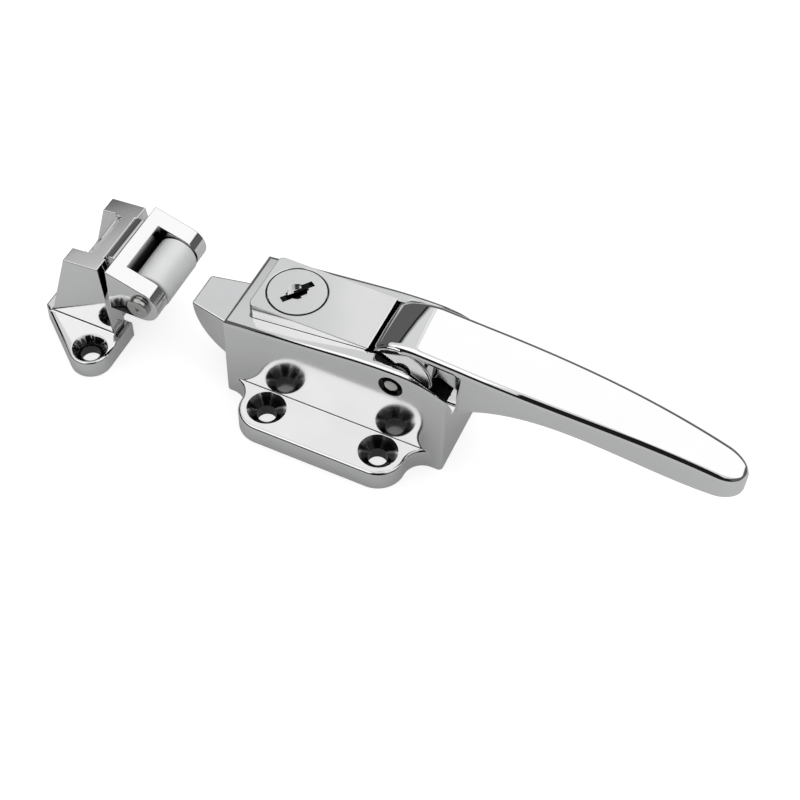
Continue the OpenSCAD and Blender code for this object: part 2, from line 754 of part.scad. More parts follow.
module lock_cam() {
    hub_r = tail_w * 0.9;
    tongue_w = 7;
    hole_w = tail_w + 2 * seat_gap;
    color(steel) at_lock(cam_bottom) difference() {
        union() {
            cylinder(r = hub_r, h = cam_t);
            translate([-tongue_w / 2, 0, 0]) cube([tongue_w, cam_reach - tongue_w / 2, cam_t]);
            translate([0, cam_reach - tongue_w / 2, 0]) cylinder(d = tongue_w, h = cam_t);
        }
        translate([-hole_w / 2, -hole_w / 2, -cut]) cube([hole_w, hole_w, cam_t + 2 * cut]);
    }
}

module cam_screw() {
    color(steel) at_lock(cam_bottom - cam_screw_head_t - seat_gap) difference() {
        union() {
            cylinder(d = cam_screw_head, h = cam_screw_head_t, $fn = bore_fn);
            cylinder(d = cam_screw_d - 2 * seat_gap, h = cam_screw_head_t + cam_screw_reach, $fn = bore_fn);
        }
        translate([-cam_screw_head, -0.4, -cut]) cube([2 * cam_screw_head, 0.8, cut + 0.6]);
    }
}

// Strike

// Plan of the flange: two ears joined to a narrower far edge by straight flanks
module strike_plan() {
    ear = [ear_x, strike_dy / 2];
    corner = [strike_far, strike_far_w / 2];
    reach = norm(ear - corner);
    toward = atan2(corner[1] - ear[1], corner[0] - ear[0]);
    touch_angle = toward - acos(ear_r / reach);
    touch = ear + ear_r * [cos(touch_angle), sin(touch_angle)];
    half = [[strike_near, 0], [strike_near, ear[1]], ear, touch, corner, [strike_far, 0]];
    for (side = [0, 1]) mirror([0, side]) {
        polygon(half);
        translate(ear) circle(ear_r);
    }
}

module block_form() {
    low_w = block_w + 2 * block_h * tan(block_draft);
    back_low = block_back - back_top * block_back_lean;
    intersection() {
        mid_box(strike_far, strike_near, low_w, strike_flange_t - cut, block_h);
        across(low_w) polygon([[back_low, 0], [block_back, back_top], [lip_top, block_h],
            [lip_top + block_h * lip_lean, 0]]);
        rotate([90, 0, 90]) translate([0, 0, back_low - cut]) linear_extrude(strike_l + 4 * cut) polygon(
            [[-low_w / 2, 0], [low_w / 2, 0], [block_w / 2, block_h], [-block_w / 2, block_h]]);
    }
}

// Notch that opens at the block's back and top, with a bevel along its rim
module notch() {
    rim_z = block_h - (lip_top - web_back) * tan(top_fall);
    translate([0, 0, strike_flange_t]) linear_extrude(block_h)
        round_rect(strike_far - notch_corner_r, web_back, notch_w, notch_corner_r);
    foot_z = rim_z - notch_bevel_drop;
    bevel_x = web_back + notch_bevel;
    across(notch_w) polygon([[web_back - cut, foot_z], [web_back, foot_z],
        [bevel_x, rim_z + notch_bevel * tan(top_fall)], [bevel_x, 2 * block_h],
        [web_back - cut, 2 * block_h]]);
}

module strike_base() {
    color(chrome) difference() {
        union() {
            linear_extrude(strike_flange_t) strike_plan();
            block_form();
        }
        mid_box(groove_floor, strike_near + cut, groove_w, -cut, block_h + cut);
        notch();
        for (z = [clamp_z - adjust, clamp_z + adjust])
            long_rod(web_back - cut, strike_near, z, clamp_d / 2 + run_gap);
        mid_box(web_back - cut, strike_near, clamp_d + 2 * run_gap, clamp_z - adjust, clamp_z + adjust);
        for (y = [-1, 1]) sunk_hole(ear_x, y * strike_dy / 2, strike_flange_t, screw_d, strike_sink_d);
    }
}

module fork_side() {
    nose_top = [axle_x + fork_nose_r * sin(fork_slope), axle_h + fork_nose_r * cos(fork_slope)];
    polygon([[shoulder_x, fork_bottom], [axle_x, fork_bottom], [axle_x, axle_h], nose_top,
        [shoulder_x, fork_top_z]]);
    translate([axle_x, axle_h]) circle(fork_nose_r);
}

module roller_fork() {
    color(chrome) difference() {
        union() {
            across(fork_w) fork_side();
            across(tongue_w) polygon([[tongue_back, fork_bottom], [shoulder_x + cut, fork_bottom],
                [shoulder_x + cut, tongue_top], [tongue_back + tongue_bevel, tongue_top],
                [tongue_back, tongue_top - tongue_bevel]]);
        }
        mid_box(pocket_back, axle_x + 2 * fork_nose_r, pocket_w, 0, 2 * crown_h);
        cross_rod(axle_x, axle_h, axle_d / 2 + seat_gap, fork_w + cut);
        long_rod(tongue_back - cut, pocket_back - 1.2, clamp_z, clamp_d / 2);
    }
}

module roller_axle() {
    color(steel) difference() {
        union() {
            cross_rod(axle_x, axle_h, axle_d / 2, fork_w + rivet_out);
            for (side = [-1, 1]) translate([axle_x, side * (fork_w / 2 + seat_gap), axle_h])
                rotate([-side * 90, 0, 0]) cylinder(d1 = rivet_d, d2 = rivet_d - 0.8, h = rivet_out);
        }
        for (side = [-1, 1]) translate([axle_x, side * (fork_w / 2 + rivet_out), axle_h])
            rotate([side * 90, 0, 0]) translate([0, 0, -cut]) cylinder(d1 = 2.6, d2 = 1, h = cut + 0.9);
    }
}

module roller() {
    edge = 0.8;
    color("gainsboro") translate([axle_x, 0, axle_h]) rotate([90, 0, 0]) difference() {
        union() {
            cylinder(d = roller_d, h = roller_l - 2 * edge, center = true);
            for (side = [0, 1]) mirror([0, 0, side]) translate([0, 0, roller_l / 2 - edge])
                cylinder(d1 = roller_d, d2 = roller_d - 2 * edge, h = edge);
        }
        cylinder(d = axle_d + 2 * pin_gap, h = roller_l + cut, center = true);
    }
}

module clamp_screw() {
    head_x = web_back - washer_t - 3 * seat_gap;
    color(steel) difference() {
        union() {
            long_rod(head_x - clamp_head_t, head_x, clamp_z, clamp_head_d / 2);
            long_rod(head_x - cut, pocket_back - 2, clamp_z, clamp_d / 2 - seat_gap);
        }
        translate([head_x - clamp_head_t - cut, 0, clamp_z]) rotate([0, 90, 0])
            cylinder(d = 0.9 * clamp_d, h = cut + 0.6 * clamp_head_t, $fn = 6);
    }
}

module clamp_washer() {
    color(steel) difference() {
        long_rod(web_back - washer_t - 2 * seat_gap, web_back - 2 * seat_gap, clamp_z, washer_d / 2);
        long_rod(web_back - washer_t - cut, web_back + cut, clamp_z, clamp_d / 2 + 0.1);
    }
}

latch_housing();
back_plate();
back_plate_screws();
handle_pin();
handle_bushes();
handle();
bolt();
bolt_spring();
spring_guide();
lock_barrel();
barrel_nut();
key_plug();
wafers();
lock_cam();
cam_screw();
strike_base();
roller_fork();
roller_axle();
roller();
clamp_screw();
clamp_washer();
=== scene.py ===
# %% [markdown]
# # A chrome cold room latch and its roller strike
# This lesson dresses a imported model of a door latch: a lever, a bolt, a key lock and a roller strike.
# The solids already have their sizes, joints and places. What is left is what the eye reads as chrome:
# soft edges, true curves, a finish with a little life in it, and a studio for the metal to mirror.

import json
import math

import bmesh
import bpy
import numpy as np
from mathutils import Matrix, Vector


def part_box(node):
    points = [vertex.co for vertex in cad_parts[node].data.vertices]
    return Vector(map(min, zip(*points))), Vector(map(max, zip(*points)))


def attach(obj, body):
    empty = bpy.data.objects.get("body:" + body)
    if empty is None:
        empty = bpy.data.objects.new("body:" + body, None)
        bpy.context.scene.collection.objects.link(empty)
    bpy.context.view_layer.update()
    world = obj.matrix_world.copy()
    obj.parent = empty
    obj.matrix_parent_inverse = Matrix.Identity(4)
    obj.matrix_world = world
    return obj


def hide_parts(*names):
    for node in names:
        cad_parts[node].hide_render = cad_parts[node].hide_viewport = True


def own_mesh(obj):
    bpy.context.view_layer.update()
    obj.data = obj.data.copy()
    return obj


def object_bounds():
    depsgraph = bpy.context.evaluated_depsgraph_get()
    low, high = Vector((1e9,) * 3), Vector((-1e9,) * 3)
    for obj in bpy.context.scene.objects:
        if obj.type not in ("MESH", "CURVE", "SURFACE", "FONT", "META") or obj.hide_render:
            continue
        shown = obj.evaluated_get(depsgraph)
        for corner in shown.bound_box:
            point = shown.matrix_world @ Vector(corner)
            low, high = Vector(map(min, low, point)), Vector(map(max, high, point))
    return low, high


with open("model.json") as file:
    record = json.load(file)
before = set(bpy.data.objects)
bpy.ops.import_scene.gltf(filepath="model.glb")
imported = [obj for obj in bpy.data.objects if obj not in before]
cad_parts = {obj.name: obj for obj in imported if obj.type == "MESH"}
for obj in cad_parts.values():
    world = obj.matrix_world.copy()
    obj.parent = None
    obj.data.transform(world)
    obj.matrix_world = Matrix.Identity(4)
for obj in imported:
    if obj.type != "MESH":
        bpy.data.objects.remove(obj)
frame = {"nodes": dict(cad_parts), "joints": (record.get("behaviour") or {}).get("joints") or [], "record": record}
CAD_LOW, CAD_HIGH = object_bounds()
MM = 0.001
cad_size = [round((high - low) / MM, 1) for low, high in zip(CAD_LOW, CAD_HIGH)]
print("loaded", len(frame["nodes"]), "nodes,", cad_size, "mm")

# %% [markdown]
# ## Shader maths in plain Python
# A finish is a small sum: so much grain, so much haze, mixed by a mask. Nodes can be placed one by one, but
# the sum is then hard to read. Here a socket is wrapped in a class whose + - * / add the Math nodes, so a
# finish reads like its formula. One method makes every other kind of node.


# %% A socket that takes part in sums
class Wire:
    """One output socket of a node tree. Sums of wires and numbers add Math nodes to the same tree."""

    def __init__(self, tree, socket=None):
        self.tree = tree
        self.socket = socket

    def node(self, kind, settings=None, values=None, out=0):
        """Adds a node: its settings are set first, then its sockets get numbers, colours or links."""
        made = self.tree.nodes.new(kind)
        for name, value in (settings or {}).items():
            setattr(made, name, value)
        for key, value in (values or {}).items():
            if isinstance(value, Wire):
                self.tree.links.new(value.socket, made.inputs[key])
            else:
                made.inputs[key].default_value = value
        return Wire(self.tree, made.outputs[out] if made.outputs else None)

    def maths(self, operation, *values):
        """A Math node on up to three wires or numbers."""
        return self.node("ShaderNodeMath", {"operation": operation}, dict(enumerate(values)))

    def __add__(self, other):
        return self.maths("ADD", self, other)

    def __sub__(self, other):
        return self.maths("SUBTRACT", self, other)

    def __rsub__(self, other):
        return self.maths("SUBTRACT", other, self)

    def __mul__(self, other):
        return self.maths("MULTIPLY", self, other)

    def __truediv__(self, other):
        return self.maths("DIVIDE", self, other)

    def __rtruediv__(self, other):
        return self.maths("DIVIDE", other, self)

    __radd__ = __add__
    __rmul__ = __mul__


def new_finish(name):
    """A material with an empty tree, and a wire that starts in it."""
    material = bpy.data.materials.new(name)
    material.use_nodes = True
    material.node_tree.nodes.clear()
    return material, Wire(material.node_tree)


def close_finish(start, shader):
    """Links the finished shader to the material's output."""
    start.node("ShaderNodeOutputMaterial", values={"Surface": shader})


print("wires can be added, subtracted, multiplied and divided")

# %% [markdown]
# ## What a finish is made of
# Real metal is never one even value: polish leaves long streaks, plating leaves faint clouds. Both could be
# painted by hand, but a noise does it at any distance. Every pattern reads Object coordinates in metres, so
# a scale of 100 is a 10 mm feature, and it stays on the metal when the piece moves.

# %% Noise, mixes and measures
EVEN = (1.0, 1.0, 1.0)
ALONG_X = (8.0, 1.0, 1.0)
ROUND_Y = (6.0, 1.0, 6.0)


def object_place(start):
    """Object coordinates, in metres."""
    return start.node("ShaderNodeTexCoord", out="Object")


def noise(start, place, scale, detail=2.0):
    """Soft random clouds between 0 and 1, about 1 / scale metres wide."""
    return start.node("ShaderNodeTexNoise", values={"Vector": place, "Scale": scale, "Detail": detail})


def stretched(start, stretch):
    """Object coordinates, squeezed so that a noise on them becomes long streaks."""
    place = object_place(start)
    return start.node("ShaderNodeMapping", {"vector_type": "TEXTURE"}, {"Vector": place, "Scale": stretch})


def blend(start, amount, first, second):
    """Mixes two colours, each a wire or three numbers. The numbered sockets are the node's colour ones."""
    first, second = (c if isinstance(c, Wire) else (*c, 1.0) for c in (first, second))
    return start.node("ShaderNodeMix", {"data_type": "RGBA"}, {0: amount, 6: first, 7: second}, out=2)


def axis(start, place, letter):
    """One coordinate of a place: X, Y or Z."""
    return start.node("ShaderNodeSeparateXYZ", values={"Vector": place}, out=letter)


def ramp(start, depth, fade):
    """0 at the surface, rising to 1 where depth reaches fade."""
    return start.node("ShaderNodeClamp", values={"Value": depth / fade})


def near(start, value, centre, reach):
    """1 where a value is within reach of a centre, 0 elsewhere."""
    return start.maths("COMPARE", value, centre, reach)


def grey(level, warm=0.0):
    """A metal colour from its brightness, warmer or cooler by a little."""
    return (level + warm, level, level - warm)


print("streaks run", ALONG_X[0], "times as far along a casting as across it")

# %% [markdown]
# ## Two recipes
# Bright chrome over a zinc casting is a mirror with a slow ripple left by hand polishing and a faint haze.
# One flat value of roughness would be quicker, but a perfect mirror looks like a computer picture. So the
# normal gets a ripple of a few micrometres and the roughness wanders. The same recipe, duller, gives plain
# steel, zinc and brass. The bushes are moulded plastic, which needs only a clouded colour and gloss.

# %% Metal and moulded plastic
CLOUD_SHARE = 0.6
STREAK_SCALE = 900.0
STREAK_DEPTH = 0.02
# Near black of the painted shade in hollows: countersinks, the key slot, the pocket and the pin's rim
PAINTED_SHADE_COLOUR = grey(0.02)
GRAIN_SCALE = 400.0
GRAIN_HAZE = 0.2


def metal(name, bright, dull, gloss, haze, ripple, feature, streak=EVEN, lined=0.02, pure=1.0, painted_shade=None):
    """Metal: colour = mix of bright and dull by cloud, roughness = gloss + haze * cloud + lined * streak.

    The normal is bumped by ripple metres of a slow swell, with features 1 / feature metres wide, and by a
    small share of the streaks. Pure is the share of bare metal, the rest being a dull skin. Painted shade, if
    given, makes a mask from a place, and where it is 1 the colour is painted near black, the shade of a recess.
    """
    material, start = new_finish(name)
    place = object_place(start)
    cloud = noise(start, place, feature * CLOUD_SHARE)
    lines = noise(start, stretched(start, streak), STREAK_SCALE)
    swell = noise(start, place, feature, 0.0)
    colour = blend(start, cloud, bright, dull)
    # Painted shade: where the mask is 1, the metal's colour turns to near black
    if painted_shade is not None:
        colour = blend(start, painted_shade(start, place), colour, PAINTED_SHADE_COLOUR)
    height = swell + lines * STREAK_DEPTH
    normal = start.node("ShaderNodeBump", values={"Height": height, "Strength": 1.0, "Distance": ripple})
    shader = start.node(
        "ShaderNodeBsdfPrincipled",
        values={
            "Base Color": colour,
            "Metallic": pure,
            "Roughness": cloud * haze + lines * lined + gloss,
            "Normal": normal,
        },
    )
    close_finish(start, shader)
    return material


def moulded(name, bright, dull, gloss):
    """Moulded plastic: a milky colour that clouds slightly, with a fine grain in its gloss."""
    material, start = new_finish(name)
    cloud = noise(start, object_place(start), GRAIN_SCALE)
    shader = start.node(
        "ShaderNodeBsdfPrincipled",
        values={"Base Color": blend(start, cloud, bright, dull), "Roughness": cloud * GRAIN_HAZE + gloss},
    )
    close_finish(start, shader)
    return material


print("recipes: metal and moulded plastic")

# %% [markdown]
# ## Painted shade in the hollows
# Countersinks, the key slot and the roller's pocket are nearly black on the real lock: little light gets in.
# Here that shade is painted into the colour. Each could be a piece of its own with a dark material, but
# the casting is one piece. So a mask of painted shade is worked out from the places that the frame gives.

# %% Masks of painted shade in the hollows
JOINTS = {joint["name"]: joint for joint in frame["joints"]}
PIVOT = np.array(JOINTS["handle_pull"]["pos_m"])
# Heights of the two flanges in mm, and for each screw pattern a countersink's radius and its flange
LATCH_FLANGE = 8.3
STRIKE_FLANGE = 7.6
SINKS = {"latch_screws": (7.0, LATCH_FLANGE), "strike_screws": (6.74, STRIKE_FLANGE)}
# Strength of the painted shade at the bottom of a countersink
SINK_SHADE = 0.85
# Sizes in metres, as a material reads them
SINK_FADE = 1.5 * MM
PIN_FLAT = 2.35 * MM
PIN_SINK = 4.45 * MM
FACE_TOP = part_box("key_plug")[1][2]
WELL_DEEP = 1.6 * MM
SLOT_FADE = 0.15 * MM
AXLE_X, _, AXLE_Z = np.mean(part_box("roller_axle"), axis=0)
ROLLER_GAP = 0.6 * MM
POCKET_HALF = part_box("roller")[1][1] + ROLLER_GAP
POCKET_REACH = 11.5 * MM
POCKET_START = 0.3 * MM
POCKET_FADE = 3.0 * MM
FORK_NOSE = 7.2 * MM
FORK_SLOPE = math.radians(17.0)


def from_pivot(start, place):
    """Square of the distance from the pivot's line."""
    x = axis(start, place, "X") - PIVOT[0]
    z = axis(start, place, "Z") - PIVOT[2]
    return x * x + z * z


def screw_pattern(name):
    """Centre and half spacing of a pattern of screw holes, each in X and Y, and a hole's radius, in mm."""
    mount = next(mount for mount in frame["record"]["mounts"] if mount["name"] == name)
    dims = mount["dims"]
    apart = np.array([dims.get("spacing_x_mm", 0.0), dims["spacing_y_mm"]]) / 2.0
    return np.array(mount["pos_m"][:2]) / MM, apart, dims["hole_r_mm"]


def screw_sink_shade(start, place, pattern):
    """Painted shade in a pattern's countersinks: inside a hole's rim radius, it rises with depth to full strength.

    The holes mirror each other, so the distance is taken from |x| and |y| to the hole in the first quarter.
    """
    radius, top = SINKS[pattern]
    centre, apart, _ = screw_pattern(pattern)
    along, across = (np.abs(centre) + apart) * MM
    x = start.maths("ABSOLUTE", axis(start, place, "X")) - along
    y = start.maths("ABSOLUTE", axis(start, place, "Y")) - across
    deep = ramp(start, top * MM - axis(start, place, "Z"), SINK_FADE)
    return near(start, x * x + y * y, 0.0, (radius * MM) ** 2) * deep * SINK_SHADE


def housing_painted_shade(start, place):
    """Mask of painted shade in the housing's countersinks: round the pin, and for the screws."""
    pin = near(start, from_pivot(start, place), 0.0, PIN_SINK**2)
    return pin + screw_sink_shade(start, place, "latch_screws")


def pin_rim_shade(start, place):
    """Mask of painted shade on the pin's round rim, which lies in that countersink."""
    return near(start, from_pivot(start, place), PIN_SINK**2, PIN_SINK**2 - PIN_FLAT**2)


def keyway_shade(start, place):
    """Mask of painted shade in the key slot: all that is deeper than the round well in the plug's face."""
    return ramp(start, FACE_TOP - WELL_DEEP - axis(start, place, "Z"), SLOT_FADE)


def pocket(start, place):
    """Mask of painted shade in the roller's pocket: between the fork's arms, by the depth under the fork's sloping
    top.
    """
    x, y, z = (axis(start, place, letter) for letter in "XYZ")
    depth = FORK_NOSE - (x - AXLE_X) * math.sin(FORK_SLOPE) - (z - AXLE_Z) * math.cos(FORK_SLOPE)
    deep = ramp(start, depth - POCKET_START, POCKET_FADE)
    return deep * near(start, y, 0.0, POCKET_HALF) * near(start, x, AXLE_X, POCKET_REACH)


def strike_painted_shade(start, place):
    """Mask of painted shade in the strike's hollows: the roller's pocket and the countersinks in the ears."""
    return pocket(start, place) + screw_sink_shade(start, place, "strike_screws")


print("hollows at", len(SINKS), "screw patterns, the pin, the key slot and the roller")

# %% [markdown]
# ## The finishes of this lock
# The lever is polished most, because hands and eyes meet it first. The housing and the bolt are hazier, the
# roller is satin, and what is inside is plain steel, zinc and brass. A table keeps these side by side, so
# one can be judged against the next, and each node takes the finish that the record names for it.

# %% Table of finishes
# Housing, strike, plug and pin finishes carry a mask of painted shade, near black in their hollows
METALS = {
    "handle_chrome": dict(
        bright=grey(0.90), dull=grey(0.87), gloss=0.015, haze=0.03, ripple=4e-6, feature=70.0,
        streak=ALONG_X, lined=0.01,
    ),
    "housing_chrome": dict(
        bright=grey(0.85), dull=grey(0.80), gloss=0.07, haze=0.06, ripple=1e-5, feature=110.0,
        streak=ALONG_X, painted_shade=housing_painted_shade,
    ),
    "bolt_chrome": dict(
        bright=grey(0.84), dull=grey(0.78), gloss=0.08, haze=0.06, ripple=9e-6, feature=130.0,
        streak=ALONG_X, lined=0.04,
    ),
    "strike_chrome": dict(
        bright=grey(0.87), dull=grey(0.82), gloss=0.04, haze=0.05, ripple=6e-6, feature=110.0,
        streak=ALONG_X, painted_shade=strike_painted_shade,
    ),
    "plug_chrome": dict(
        bright=grey(0.84), dull=grey(0.79), gloss=0.11, haze=0.05, ripple=4e-6, feature=200.0,
        lined=0.05, painted_shade=keyway_shade,
    ),
    "roller_satin": dict(
        bright=grey(0.86), dull=grey(0.80), gloss=0.46, haze=0.06, ripple=4e-6, feature=220.0,
        streak=ROUND_Y, lined=0.08, pure=0.3,
    ),
    "pin_steel": dict(
        bright=grey(0.62, 0.01), dull=grey(0.50, 0.01), gloss=0.18, haze=0.12, ripple=1e-5, feature=300.0,
        lined=0.1, painted_shade=pin_rim_shade,
    ),
    "spring_steel": dict(
        bright=grey(0.45), dull=grey(0.32), gloss=0.26, haze=0.12, ripple=6e-6, feature=260.0, lined=0.1,
    ),
    "zinc_steel": dict(
        bright=grey(0.69, -0.01), dull=grey(0.57, -0.02), gloss=0.3, haze=0.14, ripple=1e-5, feature=180.0,
        lined=0.1,
    ),
    "lock_brass": dict(
        bright=(0.44, 0.33, 0.15), dull=(0.26, 0.18, 0.07), gloss=0.34, haze=0.12, ripple=6e-6,
        feature=260.0,
    ),
}
FINISHES = {name: metal(name, **recipe) for name, recipe in METALS.items()}
FINISHES["bush_nylon"] = moulded("bush_nylon", (0.90, 0.88, 0.82), (0.80, 0.77, 0.70), 0.38)
SLOT_OF = {part["node"]: part["material_slot"] for part in frame["record"]["subparts"]}
for node_name, node_object in frame["nodes"].items():
    node_object.data.materials.clear()
    node_object.data.materials.append(FINISHES[SLOT_OF[node_name]])
print("made", len(FINISHES), "finishes for", len(SLOT_OF), "nodes")

# %% [markdown]
# ## Tools for meshes
# Every new form here is a loft: rings of points joined into a closed skin. Blender can skin curves or spin
# a profile too, but rings worked out as one array keep every point where the formula says, and a turned
# form is then just a loft whose rings are circles.

# %% Loft and turn
ROUND_STEPS = 128
RIM_STEPS = 9
DISC_CORE = 0.5


def loft_mesh(name, rings):
    """A closed mesh: quads between neighbouring rings, and one face over each end. Rings are in mm."""
    rows, columns = rings.shape[:2]
    first = np.arange(rows - 1)[:, None] * columns
    here = np.arange(columns)[None, :]
    after = (here + 1) % columns
    quads = np.stack([first + here, first + columns + here, first + columns + after, first + after], -1)
    quads = quads.reshape(-1, 4)
    ends = [list(range(columns)), list(range(rows * columns - 1, (rows - 1) * columns - 1, -1))]
    mesh = bpy.data.meshes.new(name)
    mesh.from_pydata((rings.reshape(-1, 3) * MM).tolist(), [], quads.tolist() + ends)
    shape = bmesh.new()
    shape.from_mesh(mesh)
    bmesh.ops.recalc_face_normals(shape, faces=shape.faces)
    shape.to_mesh(mesh)
    shape.free()
    return mesh


def turned_rings(a, b, profile):
    """Circles about the line through a, b: profile has rows of radius and height. The line runs along Z."""
    radius, height = np.array(profile, float).T[:, :, None]
    turn = np.linspace(0.0, 2.0 * math.pi, ROUND_STEPS, endpoint=False)[None, :]
    return np.stack([a + radius * np.cos(turn), b + radius * np.sin(turn), height + 0.0 * turn], -1)


def disc_rings(x, z, radius, half, edge):
    """A disc about Y with round rims: circles across Y that shrink over the rim."""
    bend = np.linspace(0.0, math.pi / 2.0, RIM_STEPS)
    rim = np.stack([radius - edge + edge * np.cos(bend), half - edge + edge * np.sin(bend)], -1)
    profile = np.concatenate([[(DISC_CORE, -half)], rim[::-1] * (1.0, -1.0), rim, [(DISC_CORE, half)]])
    return turned_rings(x, z, profile)[..., [0, 2, 1]]


print("a turned form has", ROUND_STEPS, "points in each circle")

# %% [markdown]
# A bake turns an object's modifiers into a plain mesh, and a join unites or cuts closed meshes. Both could
# stay live as modifiers, but a plain mesh is the same in every program. The last tool seats a mesh on its
# moving body. It marks creases where faces meet sharply, and weighs the normals by face area, so that the
# flats stay flat in the mirror.

# %% Place, bake, join and seat
BODY_OF = {node: body for body, nodes in frame["record"]["behaviour"]["bodies"].items() for node in nodes}
CREASE = math.radians(35.0)
scene = bpy.context.scene


def placed(name, data):
    """A new object with this mesh, lamp or camera, linked to the scene."""
    made = bpy.data.objects.new(name, data)
    scene.collection.objects.link(made)
    return made


def baked(name, blank):
    """The mesh that an object's modifiers make. The object is thrown away."""
    graph = bpy.context.evaluated_depsgraph_get()
    mesh = bpy.data.meshes.new_from_object(blank.evaluated_get(graph))
    mesh.name = name
    bpy.data.objects.remove(blank)
    return mesh


def joined(name, first, others):
    """One mesh from closed ones: each other mesh is united with the first or cut from it."""
    blank = placed(first.name, first)
    tools = []
    for mesh, operation in others:
        tool = placed(mesh.name, mesh)
        tools.append(tool)
        step = blank.modifiers.new(operation, "BOOLEAN")
        step.operation = operation
        step.solver = "EXACT"
        step.object = tool
    mesh = baked(name, blank)
    for tool in tools:
        bpy.data.objects.remove(tool)
    return mesh


def dressed(mesh, node):
    """Puts a mesh in the place of a node: on its body, in its finish, with creases and even normals."""
    mesh.shade_smooth()
    mesh.set_sharp_from_angle(angle=CREASE)
    piece = placed(mesh.name, mesh)
    piece.data.materials.append(FINISHES[SLOT_OF[node]])
    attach(piece, BODY_OF[node])
    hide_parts(node)
    even = piece.modifiers.new("even_normals", "WEIGHTED_NORMAL")
    even.mode = "FACE_AREA_WITH_ANGLE"
    even.keep_sharp = True
    return piece


# %% [markdown]
# ## Soft edges on the castings
# No casting has a knife edge: plating and polishing leave every edge round, and that thin round strip is
# what draws the black and white lines on chrome. A new model of each casting would do, but the solids are
# right in shape. So each gets a copy whose loose triangles are merged into whole faces, and every edge that
# turns more than a fillet does is given a weight, which says how wide the Bevel rounds it.

# %% Merge a node and weigh its edges
MERGE = 2e-6
FLAT = math.radians(0.4)
WIDEST = 1.0


def column(items, name, width, kind=float):
    """One property of every item of a mesh, as an array with a row for each."""
    values = np.empty(len(items) * width, kind)
    items.foreach_get(name, values)
    return values.reshape(-1, width)


def edge_turns(mesh):
    """Angle between the two faces at each edge, in degrees. Where an edge hasn't two faces it is zero."""
    normals = column(mesh.polygons, "normal", 3)
    face = np.repeat(np.arange(len(mesh.polygons)), column(mesh.polygons, "loop_total", 1, int)[:, 0])
    edge = column(mesh.loops, "edge_index", 1, int)[:, 0]
    face = face[np.argsort(edge, kind="stable")]
    count = np.bincount(edge, minlength=len(mesh.edges))
    first = np.cumsum(count) - count
    paired = count == 2
    cosine = (normals[face[first[paired]]] * normals[face[first[paired] + 1]]).sum(-1)
    turn = np.zeros(len(mesh.edges))
    turn[paired] = np.degrees(np.arccos(np.clip(cosine, -1.0, 1.0)))
    return turn


def weigh_edges(mesh, radius, corner, places):
    """Gives each edge that turns more than corner its radius in mm. A place's box has its own of both."""
    points = column(mesh.vertices, "co", 3) / MM
    middle = points[column(mesh.edges, "vertices", 2, int)].mean(1)
    size = np.full(len(mesh.edges), radius)
    least = np.full(len(mesh.edges), corner)
    for low, high, place_radius, place_corner in places:
        inside = ((middle >= low) & (middle <= high)).all(1)
        size[inside] = place_radius
        least[inside] = place_corner
    weight = np.where(edge_turns(mesh) > least, size / WIDEST, 0.0)
    mesh.attributes.new("bevel_weight_edge", "FLOAT", "EDGE").data.foreach_set("value", weight)


def merged(node, name):
    """A copy of a node's mesh: triangles joined, faces inside the metal dropped, flat faces made whole."""
    shape = bmesh.new()
    shape.from_mesh(frame["nodes"][node].data)
    bmesh.ops.remove_doubles(shape, verts=shape.verts, dist=MERGE)
    odd = {vertex for edge in shape.edges if not edge.is_manifold for vertex in edge.verts}
    inner = [face for face in shape.faces if odd.issuperset(face.verts)]
    bmesh.ops.delete(shape, geom=inner, context="FACES")
    bmesh.ops.dissolve_limit(
        shape, angle_limit=FLAT, use_dissolve_boundaries=False, verts=shape.verts, edges=shape.edges
    )
    mesh = bpy.data.meshes.new(name)
    shape.to_mesh(mesh)
    shape.free()
    return mesh


print("the widest edge is", WIDEST, "mm")

# %% [markdown]
# The housing's countersinks are seen close up, and the copy's facets show in them. More facets in the solid
# would cost every other use of it, so here each hole is cut once more with a fine turned cutter, a hair
# wider than the hole. The cut comes before the Bevel, because a Bevel over the cut rims leaves needles.

# %% Rounded copies of the CAD nodes
SKIM = 0.05
CUT_FROM = -1.0
CUT_PAST = 0.5
CORNER = 50.0
BEVEL_STEPS = 3
SLICE = 0.1
# Each place: low and high corner in mm, the radius of its edges, and the least turn of an edge in degrees
PAD_RIM = ((-34.2, -12.6, 36.0), (11.4, 12.6, 44.4), 0.4, CORNER)
FLANGE_ROOT = ((-32.0, -17.9, LATCH_FLANGE - SLICE), (32.0, 17.9, LATCH_FLANGE + SLICE), 0.4, CORNER)
FLANGE_RIM = ((-120.0, -40.0, STRIKE_FLANGE - SLICE), (-80.0, 40.0, STRIKE_FLANGE + SLICE), 0.8, CORNER)


def sink_cutters(pattern):
    """Cutters for a pattern of holes: a bore, a cone at 45 degrees up to the rim, and some air over it."""
    rim, top = SINKS[pattern]
    centre, apart, hole = screw_pattern(pattern)
    bore = hole + SKIM
    sink = rim + SKIM
    profile = [(bore, CUT_FROM), (bore, top - sink + bore), (sink, top), (sink, top + CUT_PAST)]
    places = [centre + apart * side for side in ((-1, -1), (-1, 1), (1, -1), (1, 1))]
    return [(loft_mesh("sink", turned_rings(*place, profile)), "DIFFERENCE") for place in places]


def rounded(node, radius, corner=CORNER, places=()):
    """A copy of a node whose sharp edges are rounded. The housing's screw holes are cut anew first."""
    mesh = merged(node, node)
    if node == "latch_housing":
        mesh = joined(node, mesh, sink_cutters("latch_screws"))
    weigh_edges(mesh, radius, corner, places)
    blank = placed(node, mesh)
    bevel = blank.modifiers.new("soft_edges", "BEVEL")
    bevel.width = WIDEST * MM
    bevel.segments = BEVEL_STEPS
    bevel.limit_method = "WEIGHT"
    bevel.use_clamp_overlap = False
    return dressed(baked(node + "_form", blank), node)


